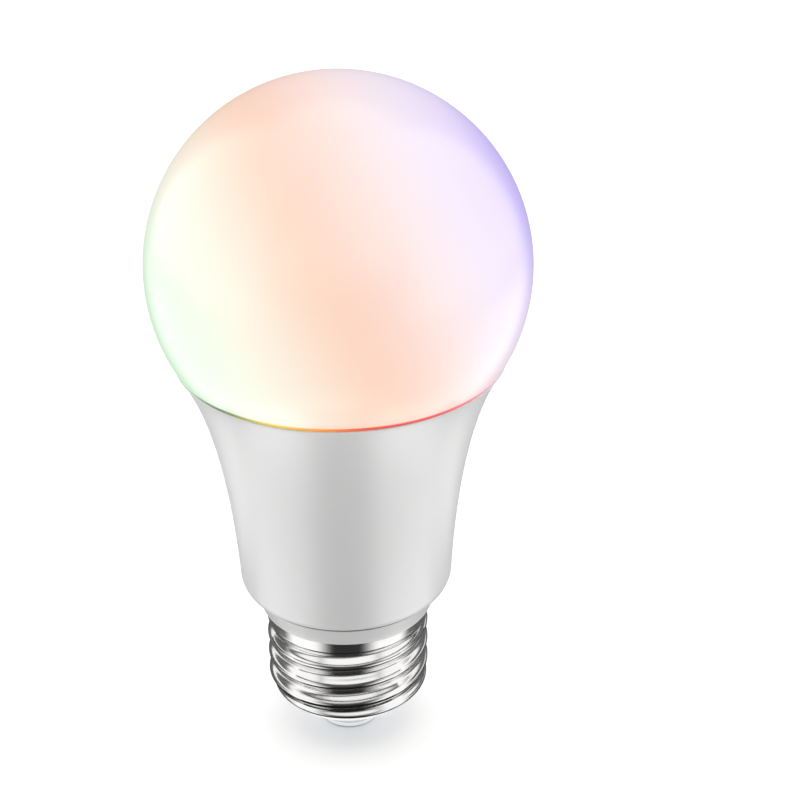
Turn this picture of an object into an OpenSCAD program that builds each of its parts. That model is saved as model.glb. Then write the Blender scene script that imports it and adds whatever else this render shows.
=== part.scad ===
// Smart light bulb with an opal globe, a flared housing and an Edison screw cap.
// Millimetres, +Z up the bulb's axis. The origin is the middle of the centre
// contact's flat face, the lowest point of the bulb.

/* [Globe] */
// Outside diameter of the diffuser globe
globe_d = 57.6; // [48:0.2:72]
// Height of the globe's centre above the centre contact
globe_z = 81.8; // [76:0.2:92]
// Wall thickness of the diffuser
globe_wall = 1.2; // [0.8:0.1:2]
// How far the diffuser's skirt reaches down into the housing
skirt_depth = 3.5; // [2:0.1:4.5]

/* [Housing] */
// Height of the seam between the globe and the housing
rim_z = 67.7; // [64:0.1:74]
// How far the housing's rim stands outside the globe at the seam
rim_step = 0.1; // [0:0.05:0.6]
// Radius the flare pulls in towards below the rim
waist_r = 18.45; // [17.5:0.05:20]
// Height that the flare pulls in at
waist_z = 56.8; // [50:0.1:60]
// Radius of the housing just above its rounded foot
foot_r = 16.95; // [16:0.05:19]
// Radius of the housing's bottom face
foot_inner_r = 15.7; // [15:0.05:17]
// Height of the housing's bottom face
foot_z = 27.5; // [26:0.1:30]
// Height of the rounded foot
foot_round_h = 2.15; // [1:0.05:3]
// Wall thickness at the mouth
housing_wall = 1.6; // [1.2:0.1:2.4]
// Extra wall below the seat of the heat sink
seat_w = 0.8; // [0.5:0.1:1.2]
// Thickness of the housing's floor
floor_t = 1.6; // [1:0.1:3]

/* [Screw cap] */
// Diameter over the thread's crests
thread_d = 26.2; // [26.1:0.01:26.34]
// Rise of the thread in one turn, seven turns to the inch
thread_pitch = 3.629; // [3.5:0.001:3.7]
// Depth of the rolled thread
thread_depth = 0.9; // [0.7:0.05:1]
// Sheet thickness of the shell
shell_wall = 0.3; // [0.2:0.05:0.4]
// Diameter of the smooth band above the thread
band_d = 26; // [25.5:0.1:26.3]
// Height of the shell's top edge
shell_top = 23.2; // [22:0.1:25]
// Height of the shell's bottom edge
shell_bottom = 3.3; // [3:0.1:4]
// Radius of the shell's bottom edge
shell_bottom_r = 7.3; // [6.5:0.1:8.5]
// Diameter of the centre contact
contact_d = 9.4; // [8:0.1:12]
// Thickness of the centre contact
contact_t = 1.2; // [0.8:0.1:1.6]
// Largest radius of the collar, under the housing
collar_r = 15.4; // [15:0.05:15.6]
// Smallest radius of the collar, above the shell
collar_low_r = 13.85; // [13.5:0.05:14.4]

/* [Light engine] */
// Height of the seat that the heat sink's plate rests on
seat_z = 60.8; // [58:0.1:62]
// Thickness of the heat sink's plate
plate_t = 1.2; // [1:0.1:2]
// Sheet thickness of the heat sink's cup
cup_wall = 1; // [0.8:0.1:1.4]
// Height of the cup's lower edge
cup_bottom = 38; // [34:0.5:50]
// Diameter of the light board
led_board_d = 37; // [32:0.5:37.5]
// Thickness of the light board
led_board_t = 1; // [0.8:0.1:1.6]
// Thickness of the thermal pad
pad_t = 0.2; // [0.1:0.05:0.5]
// Number of cool white light packages, and of warm white ones
white_count = 8; // [4:1:9]
// Number of colour light packages
colour_count = 4; // [4:1:4]

/* [Driver] */
// Thickness of the driver board
board_t = 1.2; // [1:0.1:1.6]
// Width of the driver board above the collar
board_w = 24; // [22:0.5:24]
// Width of its tongue inside the collar and the shell
tongue_w = 19; // [16:0.5:19.5]
// Height of the driver board's lower edge
board_bottom = 13; // [11:0.5:16]
// Height of the driver board's upper edge
board_top = 57; // [54:0.5:58]
// Width of the radio board
radio_w = 12; // [10:0.5:12.5]
// Height of the radio board's upper edge, above the light board
radio_top = 69.5; // [67:0.5:72]

/* [Hidden] */
$fn = 96;

// Clearances, each on one side
fit_gap = 0.15;
slide_gap = 0.1;
seal_gap = 0.05;
// Overlap that joins the solids of one piece
weld = 0.05;

globe_r = globe_d / 2;
rim_drop = globe_z - rim_z;
rim_r = sqrt(globe_r * globe_r - rim_drop * rim_drop) + rim_step;
rim_round = 0.35;
flare_foot_z = foot_z + foot_round_h;
// Terms of the flare's height as a quadratic in its parameter
flare_a = rim_z - 2 * waist_z + flare_foot_z;
flare_b = 2 * (waist_z - rim_z);
flare_steps = 26;
foot_steps = 7;

// Snap bead on the diffuser's skirt and its groove in the housing
bead_r = 0.35;
bead_z = rim_z - 0.7 * skirt_depth;
seal_w = 1;
// Height that the housing's inside draws in to its floor over
floor_blend_h = 4;

// Screw cap
crest_r = thread_d / 2;
root_r = crest_r - thread_depth;
band_r = band_d / 2;
shell_bore_r = root_r - shell_wall;
thread_bottom = 8.2;
band_h = 2.6;
thread_top = shell_top - band_h;
// Height that the thread runs out over at each end
fade_h = 1.3;
// How far the plain wall below the thread stands outside its root
root_step = 0.35;
// Height of a crest on the +X side
thread_phase_z = 15.4;
thread_sides = 40;
rows_per_turn = 8;
taper_power = 1.25;
contact_r = contact_d / 2;
contact_round = 0.45;
rivet_r = 1.2;
insulator_top = 6.2;
rivet_head_h = 0.7;
rivet_edge = 0.4;
lip_step = 0.5;
lip_drop = 0.4;

// Collar and the sleeve that stands on the housing's floor
collar_bore_r = 10.4;
spigot_gap = 0.2;
spigot_r = shell_bore_r - spigot_gap;
collar_edge = 0.4;
collar_lip_h = 0.35;
// Flat band at the collar's lower edge
collar_land_h = 1;
collar_step = 0.15;
spigot_bottom = 15.5;
upper_spigot_r = 12.5;
upper_spigot_h = 3;
sleeve_wall = 0.8;
sleeve_bore_r = upper_spigot_r + slide_gap;
sleeve_r = sleeve_bore_r + sleeve_wall;
sleeve_top_gap = 0.5;
// Gap above the collar's upper spigot
spigot_clear = 0.5;
// Boards and parts above the upper spigot start here
shelf_z = foot_z + upper_spigot_h + 0.6;
rail_w = 1;
rail_reach = 1.7;

// Light engine
plate_top = seat_z + plate_t;
plate_r = flare_r(seat_z) - housing_wall - slide_gap;
pad_top = plate_top + pad_t;
led_top = pad_top + led_board_t;
led_board_r = led_board_d / 2;
pad_inset = 0.5;
pad_r = led_board_r - pad_inset;
white_inset = 3.5;
white_ring_r = led_board_r - white_inset;
// Where each colour of package starts, in shares of its spacing
white_turn = 0.25;
warm_turn = 0.75;
colour_turn = 45;
window_share = 0.4;
colour_ring_r = 9.8;
white_size = [2.8, 3.5, 0.8];
colour_size = [5, 5, 1.5];
window_t = 0.12;
screw_r = 1.25;
screw_head_r = 2.2;
screw_head_h = 1.5;
screw_hole_r = screw_r + slide_gap;
screw_ring_r = colour_ring_r;
screw_angles = [90, 270];
boss_r = 2.6;
boss_h = 2.5;
screw_len = 4.6;
recess_w = 0.5;
recess_t = 0.6;
socket_size = [13, 2.6, 3];
pin_w = 0.64;
socket_y = -board_t / 2 - pin_w / 2;
socket_shift = 0.3;
pin_pitch = 2;
pin_count = 6;
pin_foot_h = 3;
pin_bottom = board_top - pin_foot_h;
pin_tip_h = 2.4;
pin_top = led_top + pin_tip_h;
pin_slot = [13, 1.6];

// Radio module, standing beside the driver board
radio_t = 0.8;
radio_gap = 2;
radio_y = board_t / 2 + radio_gap;
radio_bottom = 44;
radio_clear = 0.4;
radio_slot = [radio_w + 2 * radio_clear, radio_t + 3 * radio_clear];
shield_size = [10.4, 2, 9.5];
shield_up = 3.6;
shield_z = radio_bottom + shield_up;
header_size = [10, radio_gap, 2.2];
header_up = 0.5;
antenna_t = 0.1;
antenna_w = 0.6;
antenna_turns = 4;
antenna_edge = 1.2;
antenna_low_gap = 1.8;

// Driver parts
bulk_r = 4;
bulk_h = 11.5;
bulk_x = -4.7;
bulk_z = foot_z + upper_spigot_h + 1.4;
output_r = 3.15;
output_h = 8.8;
output_x = -4.3;
output_z = bulk_z + bulk_h + 1.3;
lead_r = 0.3;
lead_bend = 0.7;
lead_share = 0.35;
can_edge = 0.4;
score_w = 0.3;
film_size = [10, 4.4, 7.5];
film_z = 17.5;
core_size = [8.4, 7.4, 10.5];
core_x = 4.5;
core_z = shelf_z;
core_leg = 2.4;
choke_r = 3.5;
choke_h = 8.6;
choke_x = 4.4;
choke_z = core_z + core_size[2] + 1.5;
winding_inset = 0.3;
choke_flange = 1.1;
choke_hub_r = 1.7;
rectifier_size = [4.7, 1.6, 4];
rectifier_x = -5;
rectifier_z = foot_z + upper_spigot_h + 1.2;
chip_size = [4.9, 1.5, 3.9];
chip_x = 3.6;
chip_z = rectifier_z + rectifier_size[2] + 1.5;
leg_size = [0.9, 0.5, 0.4];
leg_count = 4;
leg_edge = 0.3;
leg_out = 0.4;
package_lift = 0.1;
varistor_r = 3.5;
varistor_t = 3.2;
varistor_x = -4.6;
varistor_z = 21.5;
fuse_r = 1.6;
fuse_h = 8;
fuse_x = 4.5;
fuse_z = 18;
stand_off = 0.25;
wire_r = 0.55;
elbow_swell = 1.06;
live_x = 3;
live_rise = 1.5;
live_y = -1.9;
live_end_h = 3.2;
neutral_end_h = 4;
neutral_in = 4.5;
neutral_drop = 2.2;
bend = 1.4;
solder_h = 0.6;

// Height along the flare to its parameter, and that to its radius
function flare_t(z) = let (c = rim_z - z)
    2 * c / (-flare_b + sqrt(max(0, flare_b * flare_b - 4 * flare_a * c)));
function flare_r(z) = let (t = flare_t(z))
    (1 - t) * (1 - t) * rim_r + 2 * t * (1 - t) * waist_r + t * t * foot_r;
// Points down the flare from one height to another, moved in by a distance
function flare_line(from, to, inset, n) =
    [for (i = [0:n]) let (z = from + (to - from) * i / n) [flare_r(z) - inset, z]];
function reversed(list) = [for (i = [len(list) - 1:-1:0]) list[i]];
// Quarter ellipse that rounds the housing's foot
function foot_arc() = [for (i = [1:foot_steps]) let (a = 90 * i / foot_steps)
    [foot_inner_r + (foot_r - foot_inner_r) * cos(a), flare_foot_z - foot_round_h * sin(a)]];
// Quarter circle that rounds the rim's outer edge
function rim_arc(n) = [for (i = [0:n]) let (a = 90 - 90 * i / n)
    [rim_r - rim_round + rim_round * cos(a), rim_z - rim_round + rim_round * sin(a)]];

module ring(r_out, r_in, z, h) {
    translate([0, 0, z])
        difference() {
            cylinder(r = r_out, h = h);
            translate([0, 0, -1])
                cylinder(r = r_in, h = h + 2);
        }
}

module block(size, z) {
    translate([-size[0] / 2, -size[1] / 2, z])
        cube(size);
}

// Round wire through a list of points
module wire(points, r) {
    for (i = [0:len(points) - 2]) {
        d = points[i + 1] - points[i];
        l = norm(d);
        translate(points[i])
            rotate([0, acos(d[2] / l), atan2(d[1], d[0])])
                cylinder(r = r, h = l, $fn = 24);
    }
    for (i = [1:len(points) - 2])
        translate(points[i])
            sphere(r = r * elbow_swell, $fn = 24);
}

// ---- Outside ----

module diffuser_globe() {
    skirt_z = rim_z - skirt_depth;
    skirt_in = housing_wall + fit_gap;
    shoulder_in = rim_r - skirt_in - globe_wall;
    color([0.96, 0.93, 0.9]) {
        rotate_extrude()
            difference() {
                intersection() {
                    translate([0, globe_z])
                        circle(r = globe_r, $fn = 180);
                    translate([0, rim_z])
                        square([globe_d, globe_d * 2]);
                }
                translate([0, globe_z])
                    circle(r = globe_r - globe_wall, $fn = 180);
            }
        // Shoulder that sits on the rim, then the skirt with its snap bead
        ring(rim_r - rim_step - rim_round, shoulder_in, rim_z, globe_wall);
        rotate_extrude()
            polygon(concat(
                [[shoulder_in, rim_z + weld], [rim_r - skirt_in, rim_z + weld]],
                flare_line(rim_z, skirt_z, skirt_in, 5),
                reversed(flare_line(rim_z, skirt_z, skirt_in + globe_wall, 5))));
        rotate_extrude()
            translate([flare_r(bead_z) - skirt_in, bead_z])
                circle(r = bead_r, $fn = 24);
    }
}

module rim_seal() {
    low = plate_top + seal_gap;
    high = rim_z - skirt_depth - seal_gap;
    inset = housing_wall + fit_gap + seal_gap;
    color([0.86, 0.86, 0.84])
        rotate_extrude()
            polygon(concat(
                flare_line(high, low, inset, 3),
                reversed(flare_line(high, low, inset + seal_w, 3))));
}

module housing() {
    color([0.93, 0.93, 0.92])
        rotate_extrude()
            difference() {
                polygon(concat(
                    [[0, rim_z]],
                    rim_arc(5),
                    flare_line(rim_z - rim_round, flare_foot_z, 0, flare_steps),
                    foot_arc(),
                    [[0, foot_z]]));
                // Room for the diffuser's skirt, down to the heat sink's seat
                polygon(concat(
                    [[0, rim_z + 1], [rim_r - housing_wall, rim_z + 1]],
                    flare_line(rim_z, seat_z, housing_wall, 10),
                    [[0, seat_z]]));
                polygon(concat(
                    [[0, seat_z + weld], [flare_r(seat_z) - housing_wall - seat_w, seat_z + weld]],
                    flare_line(seat_z, foot_z + floor_t + floor_blend_h, housing_wall + seat_w, 18),
                    [[foot_inner_r - housing_wall, foot_z + floor_t], [0, foot_z + floor_t]]));
                square([upper_spigot_r + fit_gap, foot_z + floor_t + 1]);
                translate([flare_r(bead_z) - housing_wall - fit_gap, bead_z])
                    circle(r = bead_r + fit_gap, $fn = 24);
            }
}

// Wall of the shell: rolled thread, smooth band above it and the tapered nose
function fade(z) = min(1, max(0, (z - thread_bottom) / fade_h + 0.5))
    * min(1, max(0, (thread_top - z) / fade_h + 0.5));
function wave(z, a) = 0.5 + 0.5 * cos(360 * (z - thread_phase_z) / thread_pitch - a);
function nose(z) = let (u = max(0, (thread_bottom - z) / (thread_bottom - shell_bottom)))
    shell_bottom_r + (root_r + root_step - shell_bottom_r) * (1 - pow(u, taper_power));
function plain_r(z) = z > thread_top ? band_r : z < thread_bottom ? nose(z) : root_r + root_step;
function shell_r(z, a) = let (f = fade(z))
    plain_r(z) * (1 - f) + (root_r + thread_depth * wave(z, a)) * f;
thread_rows = ceil((thread_top + fade_h - thread_bottom) / thread_pitch * rows_per_turn);
nose_rows = 5;
shell_z = concat(
    [for (i = [0:nose_rows - 1])
        shell_bottom + (thread_bottom - fade_h - shell_bottom) * i / nose_rows],
    [for (i = [0:thread_rows])
        thread_bottom - fade_h + (thread_top + 2 * fade_h - thread_bottom) * i / thread_rows],
    [shell_top]);

module screw_shell() {
    rows = len(shell_z);
    n = thread_sides;
    half = rows * n;
    points = concat(
        [for (z = shell_z, k = [0:n - 1]) let (a = 360 * k / n, r = shell_r(z, a))
            [r * cos(a), r * sin(a), z]],
        [for (z = shell_z, k = [0:n - 1]) let (a = 360 * k / n, r = shell_r(z, a) - shell_wall)
            [r * cos(a), r * sin(a), z]]);
    faces = concat(
        [for (i = [0:rows - 2], k = [0:n - 1]) let (m = (k + 1) % n)
            [i * n + k, (i + 1) * n + k, i * n + m]],
        [for (i = [0:rows - 2], k = [0:n - 1]) let (m = (k + 1) % n)
            [i * n + m, (i + 1) * n + k, (i + 1) * n + m]],
        [for (i = [0:rows - 2], k = [0:n - 1]) let (m = (k + 1) % n)
            [half + i * n + k, half + i * n + m, half + (i + 1) * n + k]],
        [for (i = [0:rows - 2], k = [0:n - 1]) let (m = (k + 1) % n)
            [half + i * n + m, half + (i + 1) * n + m, half + (i + 1) * n + k]],
        [for (k = [0:n - 1]) let (m = (k + 1) % n) [k, m, half + m, half + k]],
        [for (k = [0:n - 1]) let (m = (k + 1) % n, t = (rows - 1) * n)
            [t + k, half + t + k, half + t + m, t + m]]);
    color([0.75, 0.74, 0.72])
        polyhedron(points = points, faces = faces, convexity = 6);
}

module collar() {
    color([0.88, 0.88, 0.87])
        rotate_extrude()
            polygon([
                [collar_bore_r, spigot_bottom], [spigot_r, spigot_bottom],
                [spigot_r, shell_top], [collar_low_r - collar_edge, shell_top],
                [collar_low_r, shell_top + collar_edge],
                [collar_low_r + collar_step, shell_top + collar_land_h],
                [collar_r - collar_step, foot_z - 2 * collar_lip_h],
                [collar_r, foot_z - collar_edge], [collar_r - collar_lip_h, foot_z],
                [upper_spigot_r, foot_z],
                [upper_spigot_r, foot_z + upper_spigot_h],
                [collar_bore_r, foot_z + upper_spigot_h]]);
}

module cap_insulator() {
    lip_r = shell_bottom_r - shell_wall;
    color([0.86, 0.9, 0.94])
        rotate_extrude()
            polygon([
                [rivet_r + fit_gap, contact_t], [contact_r, contact_t],
                [contact_r + lip_step, contact_t + fit_gap], [lip_r - fit_gap, shell_bottom - lip_drop],
                [lip_r - fit_gap, insulator_top],
                [rivet_r + fit_gap, insulator_top]]);
}

module centre_contact() {
    n = 5;
    color([0.78, 0.78, 0.76])
        rotate_extrude()
            polygon(concat(
                [[0, 0]],
                [for (i = [0:n]) let (a = 90 * i / n)
                    [contact_r - contact_round + contact_round * sin(a),
                        contact_round - contact_round * cos(a)]],
                [[contact_r, contact_t], [rivet_r, contact_t],
                    [rivet_r, insulator_top + rivet_head_h - rivet_edge],
                    [rivet_r - rivet_edge, insulator_top + rivet_head_h],
                    [0, insulator_top + rivet_head_h]]));
}

// ---- Light engine ----

module screw_places() {
    for (a = screw_angles)
        rotate([0, 0, a])
            translate([screw_ring_r, 0, 0])
                children();
}

// Slots for the header pins and the radio board
module centre_slots(z, h) {
    translate([0, socket_y, 0])
        block([pin_slot[0], pin_slot[1], h], z);
    translate([0, radio_y + radio_t / 2, 0])
        block([radio_slot[0], radio_slot[1], h], z);
}

module heat_sink() {
    inset = housing_wall + seat_w + slide_gap;
    color([0.78, 0.79, 0.8])
        difference() {
            union() {
                translate([0, 0, seat_z])
                    cylinder(r = plate_r, h = plate_t);
                rotate_extrude()
                    polygon(concat(
                        [[flare_r(seat_z) - inset - cup_wall, seat_z + weld],
                            [flare_r(seat_z) - inset, seat_z + weld]],
                        flare_line(seat_z, cup_bottom, inset, 12),
                        reversed(flare_line(seat_z, cup_bottom, inset + cup_wall, 12))));
                screw_places()
                    translate([0, 0, seat_z - boss_h])
                        cylinder(r = boss_r, h = boss_h + weld, $fn = 32);
            }
            screw_places()
                translate([0, 0, seat_z - boss_h - 1])
                    cylinder(r = screw_hole_r, h = boss_h + plate_t + 2, $fn = 32);
            centre_slots(seat_z - 1, plate_t + 2);
        }
}

module drilled_disc(r, z, h) {
    difference() {
        translate([0, 0, z])
            cylinder(r = r, h = h);
        screw_places()
            translate([0, 0, z - 1])
                cylinder(r = screw_hole_r, h = h + 2, $fn = 32);
        centre_slots(z - 1, h + 2);
    }
}

module thermal_pad() {
    color([0.6, 0.62, 0.66])
        drilled_disc(pad_r, plate_top, pad_t);
}

module led_board() {
    color([0.95, 0.95, 0.93])
        drilled_disc(led_board_r, pad_top, led_board_t);
}

module board_screws() {
    color([0.7, 0.7, 0.72])
        screw_places() {
            translate([0, 0, led_top - screw_len])
                cylinder(r = screw_r, h = screw_len + weld, $fn = 32);
            difference() {
                translate([0, 0, led_top])
                    cylinder(r = screw_head_r, h = screw_head_h, $fn = 32);
                for (a = [0, 90])
                    rotate([0, 0, a])
                        block([screw_head_r * 1.2, recess_w, 1], led_top + screw_head_h - recess_t);
            }
        }
}

// One surface-mount light package: a body with its window let in
module light_package(size) {
    block([size[0], size[1], size[2] - window_t], led_top);
    translate([0, 0, led_top])
        cylinder(r = size[0] * window_share, h = size[2], $fn = 32);
}

module white_ring(offset) {
    for (i = [0:white_count - 1])
        rotate([0, 0, (i + offset) * 360 / white_count])
            translate([white_ring_r, 0, 0])
                light_package(white_size);
}

module white_leds() {
    color([0.98, 0.96, 0.8])
        white_ring(white_turn);
}

module warm_leds() {
    color([0.98, 0.86, 0.6])
        white_ring(warm_turn);
}

module colour_leds() {
    color([0.92, 0.94, 0.98])
        for (i = [0:colour_count - 1])
            rotate([0, 0, colour_turn + i * 360 / colour_count])
                translate([colour_ring_r, 0, 0])
                    light_package(colour_size);
}

module pin_places() {
    for (i = [0:pin_count - 1])
        translate([(i - (pin_count - 1) / 2) * pin_pitch, socket_y, 0])
            children();
}

module board_socket() {
    color([0.94, 0.93, 0.9])
        difference() {
            translate([0, socket_y - socket_shift, 0])
                block(socket_size, led_top);
            pin_places()
                block([pin_w + 2 * slide_gap, pin_w + 2 * slide_gap, socket_size[2] + 2],
                    led_top - 1);
        }
}

module header_pins() {
    color([0.85, 0.7, 0.35])
        pin_places()
            block([pin_w, pin_w, pin_top - pin_bottom], pin_bottom);
}

// ---- Driver ----

module driver_sleeve() {
    bottom = foot_z + floor_t;
    top = seat_z - sleeve_top_gap;
    color([0.9, 0.9, 0.88]) {
        ring(sleeve_r, sleeve_bore_r, bottom, top - bottom);
        // Rails that the driver board slides down between
        for (sx = [-1, 1], sy = [-1, 1])
            intersection() {
                translate([sx > 0 ? sleeve_bore_r - rail_reach : -sleeve_r,
                        sy > 0 ? board_t / 2 + slide_gap : -board_t / 2 - slide_gap - rail_w,
                        foot_z + upper_spigot_h + spigot_clear])
                    cube([rail_reach + sleeve_wall, rail_w, board_top - foot_z - upper_spigot_h]);
                cylinder(r = sleeve_bore_r + sleeve_wall / 2, h = top);
            }
    }
}

module driver_board() {
    color([0.15, 0.42, 0.25]) {
        block([tongue_w, board_t, shelf_z - board_bottom + weld], board_bottom);
        block([board_w, board_t, board_top - shelf_z], shelf_z);
    }
}

// Radial capacitor standing beside the board, held by two leads into it
module can_capacitor(x, r, z, h) {
    y = -board_t / 2 - stand_off - r;
    translate([x, y, z])
        difference() {
            union() {
                cylinder(r = r, h = h - can_edge);
                translate([0, 0, h - can_edge - weld])
                    cylinder(r = r - can_edge, h = can_edge + weld);
            }
            translate([0, 0, h - score_w])
                for (a = [45, 135])
                    rotate([0, 0, a])
                        block([r * 1.3, score_w, 1], 0);
        }
    for (sx = [-1, 1])
        let (lead_x = x + sx * r * lead_share)
            wire([[lead_x, y, z + weld], [lead_x, y, z - lead_bend],
                [lead_x, -board_t / 2, z - lead_bend]], lead_r);
}

module bulk_capacitor() {
    color([0.13, 0.14, 0.18])
        can_capacitor(bulk_x, bulk_r, bulk_z, bulk_h);
}

module output_capacitor() {
    color([0.1, 0.22, 0.4])
        can_capacitor(output_x, output_r, output_z, output_h);
}

module film_capacitor() {
    color([0.85, 0.7, 0.15])
        translate([0, -board_t / 2 - film_size[1] / 2, 0])
            block(film_size, film_z);
}

module transformer_core() {
    y = -board_t / 2 - core_size[1] / 2;
    window_h = core_size[2] - 2 * core_leg;
    color([0.25, 0.25, 0.27])
        translate([core_x, y, 0])
            difference() {
                block(core_size, core_z);
                block([core_size[0] - core_leg, core_size[1] + 2, window_h], core_z + core_leg);
            }
    color([0.25, 0.25, 0.27])
        translate([core_x, y, core_z + core_leg - weld])
            cylinder(r = core_leg / 2, h = window_h + 2 * weld);
}

module transformer_winding() {
    y = -board_t / 2 - core_size[1] / 2;
    window_h = core_size[2] - 2 * core_leg;
    color([0.72, 0.42, 0.2])
        translate([core_x, y, 0])
            ring(core_size[0] / 2 - core_leg / 2 - slide_gap, core_leg / 2 + slide_gap,
                core_z + core_leg + slide_gap, window_h - 2 * slide_gap);
}

module choke_core() {
    y = -board_t / 2 - choke_r;
    color([0.22, 0.22, 0.24])
        translate([choke_x, y, 0]) {
            translate([0, 0, choke_z])
                cylinder(r = choke_r, h = choke_flange);
            translate([0, 0, choke_z + choke_h - choke_flange])
                cylinder(r = choke_r, h = choke_flange);
            translate([0, 0, choke_z + choke_flange - weld])
                cylinder(r = choke_hub_r, h = choke_h - 2 * choke_flange + 2 * weld);
        }
}

module choke_winding() {
    y = -board_t / 2 - choke_r;
    color([0.75, 0.4, 0.18])
        translate([choke_x, y, 0])
            ring(choke_r - winding_inset, choke_hub_r + slide_gap, choke_z + choke_flange + slide_gap,
                choke_h - 2 * choke_flange - 2 * slide_gap);
}

// Flat package on the radio side of the driver board, with its legs
module flat_package(x, size, z) {
    translate([x, board_t / 2 + size[1] / 2, 0]) {
        translate([0, package_lift, 0])
            block([size[0], size[1] - 2 * package_lift, size[2]], z);
        leg_pitch = (size[2] - 2 * leg_edge - leg_size[2]) / (leg_count - 1);
        for (sx = [-1, 1], i = [0:leg_count - 1])
            translate([sx * (size[0] / 2 + leg_out), (leg_size[1] - size[1]) / 2, 0])
                block(leg_size, z + leg_edge + i * leg_pitch);
    }
}

module bridge_rectifier() {
    color([0.12, 0.12, 0.13])
        flat_package(rectifier_x, rectifier_size, rectifier_z);
}

module driver_chip() {
    color([0.1, 0.1, 0.11])
        flat_package(chip_x, chip_size, chip_z);
}

module varistor() {
    color([0.15, 0.3, 0.55])
        translate([varistor_x, board_t / 2 + varistor_t, varistor_z + varistor_r])
            rotate([90, 0, 0])
                cylinder(r = varistor_r, h = varistor_t);
}

module fuse_resistor() {
    y = board_t / 2 + fuse_r;
    color([0.62, 0.78, 0.72])
        translate([fuse_x, y, fuse_z])
            cylinder(r = fuse_r, h = fuse_h);
}

module radio_board() {
    color([0.1, 0.25, 0.45])
        translate([-radio_w / 2, radio_y, radio_bottom])
            cube([radio_w, radio_t, radio_top - radio_bottom]);
}

module radio_shield() {
    color([0.75, 0.76, 0.78])
        translate([-shield_size[0] / 2, radio_y + radio_t, shield_z])
            cube(shield_size);
}

// Folded trace at the radio board's upper end, above the metal light board
module radio_antenna() {
    span = radio_w - 2 * antenna_edge;
    low = led_top + antenna_low_gap;
    step = (radio_top - antenna_edge - low) / antenna_turns;
    y = radio_y + radio_t;
    color([0.85, 0.62, 0.35]) {
        for (i = [0:antenna_turns])
            translate([-span / 2, y, low + i * step])
                cube([span, antenna_t, antenna_w]);
        for (i = [0:antenna_turns - 1])
            translate([i % 2 == 0 ? span / 2 - antenna_w : -span / 2, y, low + i * step])
                cube([antenna_w, antenna_t, step + antenna_w]);
    }
}

module radio_header() {
    color([0.14, 0.14, 0.15])
        translate([-header_size[0] / 2, board_t / 2, radio_bottom + header_up])
            cube(header_size);
}

module live_wire() {
    color([0.6, 0.12, 0.1])
        wire([[0, 0, insulator_top + rivet_head_h],
            [0, 0, insulator_top + rivet_head_h + live_rise],
            [live_x, live_y, board_bottom - live_rise],
            [live_x, -board_t / 2 - wire_r, board_bottom + solder_h],
            [live_x, -board_t / 2 - wire_r, board_bottom + live_end_h]], wire_r);
}

module neutral_wire() {
    y = board_t / 2 + wire_r;
    reach = shell_bore_r - wire_r - 3 * seal_gap;
    end_x = -sqrt(reach * reach - y * y);
    foot_x = -tongue_w / 2 + neutral_in;
    low_z = board_bottom - neutral_drop;
    color([0.12, 0.12, 0.13])
        wire([[end_x, y, spigot_bottom - wire_r - 2 * fit_gap], [end_x, y, low_z + bend],
            [end_x + bend, y, low_z], [foot_x - bend, y, low_z + 1],
            [foot_x, y, board_bottom + solder_h], [foot_x, y, board_bottom + neutral_end_h]],
            wire_r);
}

diffuser_globe();
rim_seal();
housing();
heat_sink();
thermal_pad();
led_board();
white_leds();
warm_leds();
colour_leds();
board_screws();
board_socket();
header_pins();
driver_sleeve();
driver_board();
bulk_capacitor();
output_capacitor();
film_capacitor();
transformer_core();
transformer_winding();
choke_core();
choke_winding();
bridge_rectifier();
driver_chip();
varistor();
fuse_resistor();
radio_board();
radio_shield();
radio_antenna();
radio_header();
live_wire();
neutral_wire();
collar();
screw_shell();
cap_insulator();
centre_contact();
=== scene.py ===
"""A smart light bulb: opal globe, flared housing, collar and Edison screw cap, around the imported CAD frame.

Every length is in metres, in the frame's own axes: +Z up the bulb, the origin on the centre contact's face.
"""

import logging
import math
from dataclasses import dataclass, field
from enum import Enum
from typing import ClassVar

import bmesh
import bpy
from mathutils import Matrix, Vector

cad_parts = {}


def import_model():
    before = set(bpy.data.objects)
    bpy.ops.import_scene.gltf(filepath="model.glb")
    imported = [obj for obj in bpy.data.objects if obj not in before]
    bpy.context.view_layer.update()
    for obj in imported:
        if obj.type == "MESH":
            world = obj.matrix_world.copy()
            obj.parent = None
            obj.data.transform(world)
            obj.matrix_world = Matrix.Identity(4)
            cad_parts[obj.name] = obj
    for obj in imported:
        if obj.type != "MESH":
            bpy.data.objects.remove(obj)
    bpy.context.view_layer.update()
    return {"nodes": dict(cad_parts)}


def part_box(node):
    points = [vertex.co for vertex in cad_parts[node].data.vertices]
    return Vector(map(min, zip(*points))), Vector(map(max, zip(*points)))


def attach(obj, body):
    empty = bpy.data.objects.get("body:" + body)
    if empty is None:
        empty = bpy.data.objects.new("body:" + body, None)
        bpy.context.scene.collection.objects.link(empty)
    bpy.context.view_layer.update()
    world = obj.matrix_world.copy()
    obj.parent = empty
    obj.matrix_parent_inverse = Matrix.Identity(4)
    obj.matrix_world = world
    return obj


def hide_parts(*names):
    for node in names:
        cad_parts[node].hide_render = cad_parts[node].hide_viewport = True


LOG = logging.getLogger("light_bulb")
MM = 0.001
FULL_TURN = 2.0 * math.pi
SHARP_EDGE = math.radians(35.0)
Z_AXIS = Vector((0.0, 0.0, 1.0))
Colour = tuple[float, float, float]


class Slot(Enum):
    """Names of material slots; no piece in this script uses them."""

    OPAL = "opal_diffuser"
    HOUSING = "housing_plastic"
    COLLAR = "collar_plastic"
    NICKEL = "nickel_shell"
    CONTACT = "contact_metal"
    INSULATOR = "insulator_plastic"


class Shade(Enum):
    """How a mesh's faces are shaded."""

    SMOOTH = "smooth"
    CREASED = "creased"


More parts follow.
